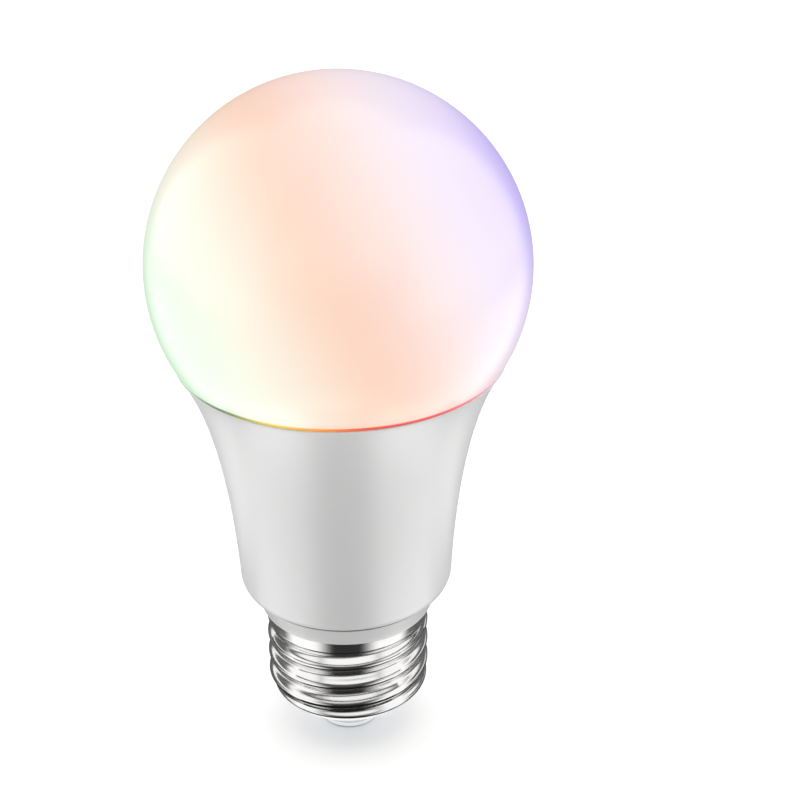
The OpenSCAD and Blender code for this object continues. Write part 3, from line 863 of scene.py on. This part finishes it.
@dataclass
class ScrewCap:
    """The nickel shell with its rolled thread, the insulator and the centre contact."""

    effects: Effects
    crest_r: float = 13.1 * MM
    depth: float = 0.95 * MM
    pitch: float = 3.629 * MM
    wall: float = 0.3 * MM
    band_r: float = 13.0 * MM
    nose_r: float = 7.3 * MM
    thread_low: float = 8.2 * MM
    band_height: float = 2.6 * MM
    fade: float = 1.3 * MM
    root_rise: float = 0.35 * MM
    phase_z: float = 15.4 * MM
    taper: float = 1.25
    crest_width: float = 0.85
    bore_r: float = 1.35 * MM
    stem_r: float = 1.2 * MM
    stem_tip_r: float = 0.7 * MM
    stem_taper: float = 0.4 * MM
    contact_edge: float = 0.22 * MM
    button_steps: int = 128
    rows: int = 132
    steps: int = 216

    def __post_init__(self) -> None:
        """Takes the cap's place from the frame."""
        low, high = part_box("screw_shell")
        self.low_z, self.top_z = low.z, high.z
        self.thread_top = self.top_z - self.band_height
        self.root_r = self.crest_r - self.depth

    def thread_share(self, height: float) -> float:
        """How much of the thread shows at a height, from none to all."""
        rise = (height - self.thread_low) / self.fade + 0.5
        fall = (self.thread_top - height) / self.fade + 0.5
        return min(1.0, max(0.0, rise)) * min(1.0, max(0.0, fall))

    def plain_radius(self, height: float) -> float:
        """The shell's radius where it has no thread."""
        if height > self.thread_top:
            return self.band_r
        root = self.root_r + self.root_rise
        if height >= self.thread_low:
            return root
        drop = (self.thread_low - height) / (self.thread_low - self.low_z)
        return self.nose_r + (root - self.nose_r) * (1.0 - drop ** self.taper)

    def radius_at(self, angle: float, height: float) -> float:
        """The shell's outside radius at an angle and a height."""
        phase = FULL_TURN * (height - self.phase_z) / self.pitch - angle
        wave = (0.5 + 0.5 * math.cos(phase)) ** self.crest_width
        share = self.thread_share(height)
        return self.plain_radius(height) * (1.0 - share) + (self.root_r + self.depth * wave) * share

    def shell(self) -> bmesh.types.BMesh:
        """Turns a plain tube and rolls the thread into it."""
        lathe = Lathe()
        span = self.top_z - self.low_z
        levels = [self.low_z + span * index / self.rows for index in range(self.rows + 1)]
        lathe.through([(self.crest_r, level) for level in levels])
        lathe.through([(self.crest_r - self.wall, level) for level in reversed(levels)])
        mesh = lathe.close().turn(self.steps)
        for vert in mesh.verts:
            x, y, z = vert.co
            inside = self.crest_r - math.hypot(x, y)
            angle = math.atan2(y, x)
            radius = self.radius_at(angle, z) - inside
            vert.co = Vector((radius * math.cos(angle), radius * math.sin(angle), z))
        bmesh.ops.recalc_face_normals(mesh, faces=mesh.faces[:])
        return mesh

    def build(self) -> list[bpy.types.Object]:
        """Builds the shell, the insulator and the contact."""
        nickel = RolledMetal("nickel_plate", (234.0, 233.0, 232.0), (222.0, 221.0, 220.0),
                             roughness=0.15, spread=0.06).material(self.effects)
        # The contact's skin carries a painted shadow line around its lower edge, where it stands on the
        # floor.
        tin = RolledMetal("contact_tin", (226.0, 229.0, 232.0), (214.0, 218.0, 222.0), roughness=0.34,
                          spread=0.12, bump=0.1, shade_line=0.04 * MM,
                          shade_line_width=0.2 * MM).material(self.effects)
        pale = MouldedPlastic("insulator_pale", (214.0, 222.0, 230.0), (204.0, 214.0, 224.0),
                              roughness=0.22, coat=0.4, marks=0.2).material(self.effects)
        pieces = [as_piece("screw_shell_nickel", self.shell(), nickel, ("screw_shell",),
                           Shade.SMOOTH)]
        low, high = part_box("cap_insulator")
        contact_low, contact_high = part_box("centre_contact")
        outer = (high.x - low.x) / 2
        contact_r = (contact_high.x - contact_low.x) / 2
        lathe = Lathe()
        lathe.to(self.bore_r, low.z).to(contact_r, low.z).to(contact_r + 0.5 * MM, low.z + 0.12 * MM)
        lathe.to(outer - 0.3 * MM, self.low_z - 0.6 * MM).to(outer - 0.05 * MM, self.low_z - 0.35 * MM)
        lathe.to(outer, self.low_z).to(outer, high.z).to(self.bore_r, high.z).close()
        pieces.append(as_piece("cap_insulator_ring", lathe.turn(self.button_steps), pale,
                               ("cap_insulator",)))
        edge = self.contact_edge
        lathe = Lathe()
        lathe.to(0.0, contact_low.z).to(contact_r - edge, contact_low.z)
        lathe.arc(contact_r - edge, contact_low.z + edge, 90.0, 8)
        lathe.to(contact_r, low.z).to(self.stem_r, low.z).to(self.stem_r, contact_high.z - self.stem_taper)
        lathe.to(self.stem_tip_r, contact_high.z).to(0.0, contact_high.z)
        pieces.append(as_piece("centre_contact_button", lathe.turn(self.button_steps), tin,
                               ("centre_contact",)))
        return pieces


@dataclass
class CarriedNodes:
    """The CAD nodes that stay as they are and only get a finish."""

    effects: Effects
    finishes: dict[str, object] = field(default_factory=dict)

    def __post_init__(self) -> None:
        """Names the finish of each node."""
        white_board = MouldedPlastic("white_solder_mask", (238.0, 238.0, 233.0), (230.0, 230.0, 226.0), 0.3)
        chip = MouldedPlastic("moulded_epoxy", (34.0, 34.0, 36.0), (26.0, 26.0, 28.0), 0.5, bump=0.2)
        ferrite = MouldedPlastic("sintered_ferrite", (62.0, 62.0, 66.0), (46.0, 46.0, 50.0), 0.6, bump=0.3)
        copper = RolledMetal("enamelled_copper", (190.0, 112.0, 60.0), (160.0, 88.0, 44.0), 0.28,
                             line_scale=5200.0, bump=0.6)
        self.finishes = {
            "rim_seal": MouldedPlastic("silicone", (222.0, 222.0, 218.0), (212.0, 212.0, 208.0), 0.5),
            "heat_sink": RolledMetal("pressed_aluminium", (200.0, 202.0, 205.0), (184.0, 186.0, 190.0),
                                     0.35),
            "thermal_pad": MouldedPlastic("thermal_pad", (150.0, 156.0, 166.0), (138.0, 144.0, 154.0), 0.7),
            "led_board": white_board,
            "white_leds": MouldedPlastic("phosphor_white", (250.0, 240.0, 170.0), (246.0, 226.0, 140.0),
                                         0.3),
            "warm_leds": MouldedPlastic("phosphor_warm", (250.0, 206.0, 120.0), (246.0, 190.0, 96.0), 0.3),
            "colour_leds": MouldedPlastic("clear_window", (232.0, 238.0, 248.0), (214.0, 224.0, 240.0),
                                          0.2, coat=0.5),
            "board_screws": RolledMetal("zinc_plate", (190.0, 190.0, 194.0), (176.0, 176.0, 180.0), 0.25),
            "board_socket": MouldedPlastic("ivory_nylon", (240.0, 234.0, 220.0), (232.0, 226.0, 210.0),
                                           0.35),
            "header_pins": RolledMetal("gold_plate", (226.0, 184.0, 96.0), (210.0, 166.0, 80.0), 0.2),
            "driver_sleeve": MouldedPlastic("natural_nylon", (232.0, 230.0, 222.0), (222.0, 220.0, 212.0),
                                            0.42),
            "driver_board": MouldedPlastic("green_solder_mask", (36.0, 110.0, 62.0), (28.0, 92.0, 52.0),
                                           0.3, coat=0.3),
            "bulk_capacitor": MouldedPlastic("dark_shrink_sleeve", (38.0, 40.0, 52.0), (30.0, 32.0, 44.0),
                                             0.25),
            "output_capacitor": MouldedPlastic("blue_shrink_sleeve", (28.0, 60.0, 110.0),
                                               (22.0, 50.0, 96.0), 0.25),
            "film_capacitor": MouldedPlastic("film_box", (226.0, 186.0, 44.0), (214.0, 172.0, 36.0), 0.35),
            "transformer_core": ferrite,
            "transformer_winding": copper,
            "choke_core": ferrite,
            "choke_winding": copper,
            "bridge_rectifier": chip,
            "driver_chip": chip,
            "varistor": MouldedPlastic("dipped_epoxy", (40.0, 78.0, 140.0), (32.0, 66.0, 124.0), 0.35,
                                       bump=0.3),
            "fuse_resistor": MouldedPlastic("resistor_lacquer", (150.0, 190.0, 174.0),
                                            (138.0, 178.0, 162.0), 0.35),
            "radio_board": MouldedPlastic("blue_solder_mask", (26.0, 64.0, 116.0), (20.0, 54.0, 102.0),
                                          0.3, coat=0.3),
            "radio_shield": RolledMetal("tinned_can", (196.0, 198.0, 202.0), (182.0, 184.0, 190.0), 0.3),
            "radio_antenna": RolledMetal("printed_copper", (222.0, 164.0, 96.0), (206.0, 146.0, 80.0),
                                         0.25),
            "radio_header": MouldedPlastic("black_nylon", (38.0, 38.0, 40.0), (30.0, 30.0, 32.0), 0.45),
            "live_wire": MouldedPlastic("red_insulation", (156.0, 34.0, 28.0), (140.0, 28.0, 24.0), 0.35),
            "neutral_wire": MouldedPlastic("black_insulation", (34.0, 34.0, 36.0), (28.0, 28.0, 30.0),
                                           0.35),
        }

    def dress(self, nodes: dict[str, bpy.types.Object]) -> None:
        """Gives each carried node its finish.

        Args:
            nodes: The frame's node objects.
        """
        made: dict[str, bpy.types.Material] = {}
        for node, finish in self.finishes.items():
            if finish.name not in made:
                made[finish.name] = finish.material(self.effects)
            for place in nodes[node].material_slots:
                place.material = made[finish.name]
            LOG.info("%s dressed in %s", node, finish.name)


# ---------------------------------------------------------------- studio


@dataclass(frozen=True)
class Card:
    """A card around the bulb that only reflections see, dark or bright, lying flat or standing.

    Attributes:
        name: The card's name.
        start: Where its section starts, as a distance from the bulb's axis and a height.
        end: Where its section ends, in the same way.
        half_turn: Half its angle around the bulb, in degrees.
        middle: The direction of its middle, 0 in front and rising to the right.
        tone: How bright it is.
        fade: For a card graded around the bulb, where its sides end and its back starts, in degrees.
    """

    name: str
    start: tuple[float, float]
    end: tuple[float, float]
    half_turn: float
    middle: float
    tone: float
    fade: tuple[float, float] | None = None
    STEPS: ClassVar[int] = 96
    FRONT: ClassVar[float] = 0.035
    SIDE: ClassVar[float] = 1.3
    BACK: ClassVar[float] = 0.13

    def grading(self) -> bpy.types.ShaderNodeTree:
        """How bright a graded card is around the bulb: dark ahead, bright at the sides, grey behind.

        Returns:
            A group with the brightness at a point.
        """
        g = GroupMaker(self.name + "_grading", {}, {"Tone": "Float"})
        parts = g.node("ShaderNodeSeparateXYZ")
        g.link(g.node("ShaderNodeTexCoord").outputs["Object"], parts.inputs[0])
        turn = g.maths("ABSOLUTE", g.maths("ARCTAN2", parts.outputs["X"],
                                           g.maths("MULTIPLY", parts.outputs["Y"], -1.0)))
        ahead = g.smoothstep(turn, math.radians(15.0), math.radians(42.0))
        behind = g.smoothstep(turn, math.radians(self.fade[0]), math.radians(self.fade[1]))
        rising = g.maths("MULTIPLY_ADD", ahead, Card.SIDE - Card.FRONT, Card.FRONT)
        drop = g.maths("SUBTRACT", Card.BACK, rising)
        g.link(g.maths("MULTIPLY_ADD", behind, drop, rising), g.sink.inputs["Tone"])
        return g.tree

    def lay(self) -> None:
        """Sets the card up."""
        mesh = bmesh.new()
        first = math.radians(self.middle - self.half_turn)
        ends = [mesh.verts.new((far * math.sin(first), -far * math.cos(first), height))
                for far, height in (self.start, self.end)]
        bmesh.ops.spin(mesh, geom=[*ends, mesh.edges.new(ends)], cent=(0.0, 0.0, 0.0), axis=Z_AXIS,
                       angle=math.radians(2.0 * self.half_turn), steps=self.STEPS, use_duplicate=False)
        bmesh.ops.remove_doubles(mesh, verts=mesh.verts[:], dist=1e-6)
        data = bpy.data.meshes.new(self.name)
        mesh.to_mesh(data)
        mesh.free()
        bench = Bench(self.name + "_paper")
        bench.fix(Base_Color=(0.0, 0.0, 0.0, 1.0), Roughness=1.0, Specular_IOR_Level=0.0,
                  Emission_Color=(1.0, 1.0, 1.0, 1.0), Emission_Strength=self.tone)
        if self.fade:
            bench.feed("Emission Strength", bench.group(self.grading()).outputs["Tone"])
        data.materials.append(bench.material)
        made = bpy.data.objects.new(self.name, data)
        bpy.context.scene.collection.objects.link(made)
        made.visible_camera = made.visible_diffuse = made.visible_shadow = False


@dataclass
class Studio:
    """Camera, floor, lights and the world around the bulb."""

    focal_px: float = 1864.0
    image_px: float = 800.0
    pitch_deg: float = 28.18
    roll_deg: float = 0.49
    eye: tuple[float, float, float] = (8.89 * MM, -252.5 * MM, 194.5 * MM)
    sensor_mm: float = 36.0
    SIDE_LIGHT: ClassVar[float] = 1.12
    HIGH_LIGHT: ClassVar[float] = 1.1
    LOW_LIGHT: ClassVar[float] = 1.16
    TOP_GLEAM: ClassVar[float] = 0.9
    DARK: ClassVar[float] = 0.1
    MATT_FRONT: ClassVar[float] = 0.08
    MATT_SIDE: ClassVar[float] = 1.5
    MATT_TOP: ClassVar[float] = 1.5

    def camera(self) -> None:
        """Places the camera."""
        data = bpy.data.cameras.new("camera")
        data.sensor_width = self.sensor_mm
        data.lens = self.focal_px / self.image_px * self.sensor_mm
        data.clip_start, data.clip_end = 0.01, 20.0
        made = bpy.data.objects.new("camera", data)
        bpy.context.scene.collection.objects.link(made)
        tilt = Matrix.Rotation(math.radians(90.0 - self.pitch_deg), 4, "X")
        roll = Matrix.Rotation(math.radians(-self.roll_deg), 4, "Z")
        made.matrix_world = Matrix.Translation(self.eye) @ tilt @ roll
        bpy.context.scene.camera = made

    def floor(self) -> None:
        """Lays a plain pale floor."""
        mesh = bmesh.new()
        bmesh.ops.create_grid(mesh, x_segments=1, y_segments=1, size=4.0)
        data = bpy.data.meshes.new("floor")
        mesh.to_mesh(data)
        mesh.free()
        bench = Bench("floor_pale")
        bench.fix(Base_Color=(0.872, 0.868, 0.864, 1.0), Roughness=0.9, Specular_IOR_Level=0.1,
                  Emission_Color=(1.0, 1.0, 1.0, 1.0), Emission_Strength=0.26)
        data.materials.append(bench.material)
        made = bpy.data.objects.new("floor", data)
        bpy.context.scene.collection.objects.link(made)
        made.visible_glossy = False

    @staticmethod
    def boxes() -> bpy.types.ShaderNodeTree:
        """The studio's soft boxes as a function of direction: one on each side and one overhead.

        Returns:
            A group with the light that matt surfaces get and the light that glossy ones mirror.
        """
        g = GroupMaker("soft_boxes", {}, {"Matt": "Float", "Mirrored": "Float"})
        parts = g.node("ShaderNodeSeparateXYZ")
        g.link(g.node("ShaderNodeTexCoord").outputs["Generated"], parts.inputs[0])
        backwards = g.maths("MULTIPLY", parts.outputs["Y"], -1.0)
        turn = g.maths("ABSOLUTE", g.maths("ARCTAN2", parts.outputs["X"], backwards))
        rise = g.maths("ARCSINE", parts.outputs["Z"])

        def between(value: bpy.types.NodeSocket, start: float, full: float, fade: float,
                    end: float) -> bpy.types.NodeSocket:
            """Rises from start to full and falls from fade to end, all in degrees."""
            up = g.smoothstep(value, math.radians(start), math.radians(full))
            down = g.smoothstep(value, math.radians(end), math.radians(fade))
            return g.maths("MULTIPLY", up, down)

        level = g.smoothstep(rise, math.radians(-26.0), math.radians(-4.0))
        sides = g.maths("MULTIPLY", g.maths("MULTIPLY", level,
                                            between(turn, 27.0, 56.0, 130.0, 146.0)), Studio.SIDE_LIGHT)
        ahead = g.maths("MULTIPLY", between(rise, 2.0, 30.0, 80.0, 90.0), Studio.HIGH_LIGHT)
        fore = g.maths("MULTIPLY", ahead, g.smoothstep(turn, math.radians(60.0), math.radians(30.0)))
        forward = g.smoothstep(turn, math.radians(150.0), math.radians(126.0))
        under = g.smoothstep(rise, math.radians(-52.0), math.radians(-72.0))
        outwards = g.maths("MULTIPLY", forward, g.smoothstep(turn, math.radians(22.0), math.radians(118.0)))
        below = g.maths("MULTIPLY", g.maths("MULTIPLY", g.maths("MAXIMUM", outwards, under),
                                            g.smoothstep(rise, math.radians(-4.0), math.radians(-26.0))),
                        Studio.LOW_LIGHT)
        overhead = g.smoothstep(rise, math.radians(40.0), math.radians(58.0))
        above = g.maths("MULTIPLY", overhead, Studio.TOP_GLEAM)
        brightest = g.maths("MAXIMUM", g.maths("MAXIMUM", sides, fore), g.maths("MAXIMUM", below, above))
        g.link(g.maths("ADD", brightest, Studio.DARK), g.sink.inputs["Mirrored"])
        around = g.smoothstep(turn, math.radians(16.0), math.radians(90.0))
        matt = g.maths("MAXIMUM", g.maths("MULTIPLY_ADD", around, Studio.MATT_SIDE - Studio.MATT_FRONT,
                                          Studio.MATT_FRONT),
                       g.maths("MULTIPLY", overhead, Studio.MATT_TOP))
        g.link(matt, g.sink.inputs["Matt"])
        return g.tree

    def world(self) -> None:
        """Surrounds the scene with the soft boxes, seen as plain white by the camera."""
        made = bpy.data.worlds.new("studio")
        made.use_nodes = True
        tree = made.node_tree
        tree.nodes.clear()
        path = tree.nodes.new("ShaderNodeLightPath")
        boxes = tree.nodes.new("ShaderNodeGroup")
        boxes.node_tree = self.boxes()
        shades = []
        for strength in (boxes.outputs["Matt"], boxes.outputs["Mirrored"], None):
            shade = tree.nodes.new("ShaderNodeBackground")
            shade.inputs["Color"].default_value = (1.0, 1.0, 1.0, 1.0)
            if strength is not None:
                tree.links.new(strength, shade.inputs["Strength"])
            shades.append(shade.outputs[0])
        lit = tree.nodes.new("ShaderNodeMixShader")
        seen = tree.nodes.new("ShaderNodeMixShader")
        out = tree.nodes.new("ShaderNodeOutputWorld")
        for mix, kind, first, second in ((lit, "Is Glossy Ray", shades[0], shades[1]),
                                         (seen, "Is Camera Ray", lit.outputs[0], shades[2])):
            tree.links.new(path.outputs[kind], mix.inputs[0])
            tree.links.new(first, mix.inputs[1])
            tree.links.new(second, mix.inputs[2])
        tree.links.new(seen.outputs[0], out.inputs[0])
        bpy.context.scene.world = made

    @staticmethod
    def louvres() -> list[Card]:
        """Standing cards in a stack behind the cap, with bright gaps between them.

        Returns:
            The cards.
        """
        away, lowest, tall, pitch, count = 19.0 * MM, 0.8 * MM, 2.3 * MM, 3.6 * MM, 6
        bottoms = [lowest + pitch * index for index in range(count)]
        return [Card(f"louvre_{index}", (away, bottom), (away, bottom + tall), 128.0, 180.0, 1.0,
                     fade=(54.0, 70.0)) for index, bottom in enumerate(bottoms)]

    def build(self) -> None:
        """Builds the studio."""
        self.camera()
        self.floor()
        near = 9.5 * MM
        for card in (
            Card("floor_ring", (near, 0.5 * MM), (60.0 * MM, 0.5 * MM), 180.0, 0.0, 1.0,
                 fade=(84.0, 102.0)),
            *self.louvres(),
            Card("low_strip", (22.5 * MM, 16.5 * MM), (22.5 * MM, 18.3 * MM), 98.0, 0.0, 0.02),
            Card("high_strip", (20.0 * MM, 21.6 * MM), (20.0 * MM, 22.7 * MM), 98.0, 0.0, 0.03),
            Card("base_card", (near, 0.7 * MM), (25.0 * MM, 0.7 * MM), 180.0, 0.0, 0.008),
            Card("under_card", (4.9 * MM, 0.05 * MM), (9.0 * MM, 0.05 * MM), 180.0, 0.0, 1.1),
        ):
            card.lay()
        self.world()


def main() -> None:
    """Builds the bulb's pieces in order, then the studio."""
    logging.basicConfig(level=logging.INFO, format="%(name)s: %(message)s")
    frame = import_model()
    effects = Effects()
    Studio().build()
    for assembly in (Globe(effects), Housing(effects), Collar(effects), ScrewCap(effects)):
        assembly.build()
    CarriedNodes(effects).dress(frame["nodes"])
    bpy.context.scene.view_settings.view_transform = "Standard"


if __name__ == "__main__":
    main()
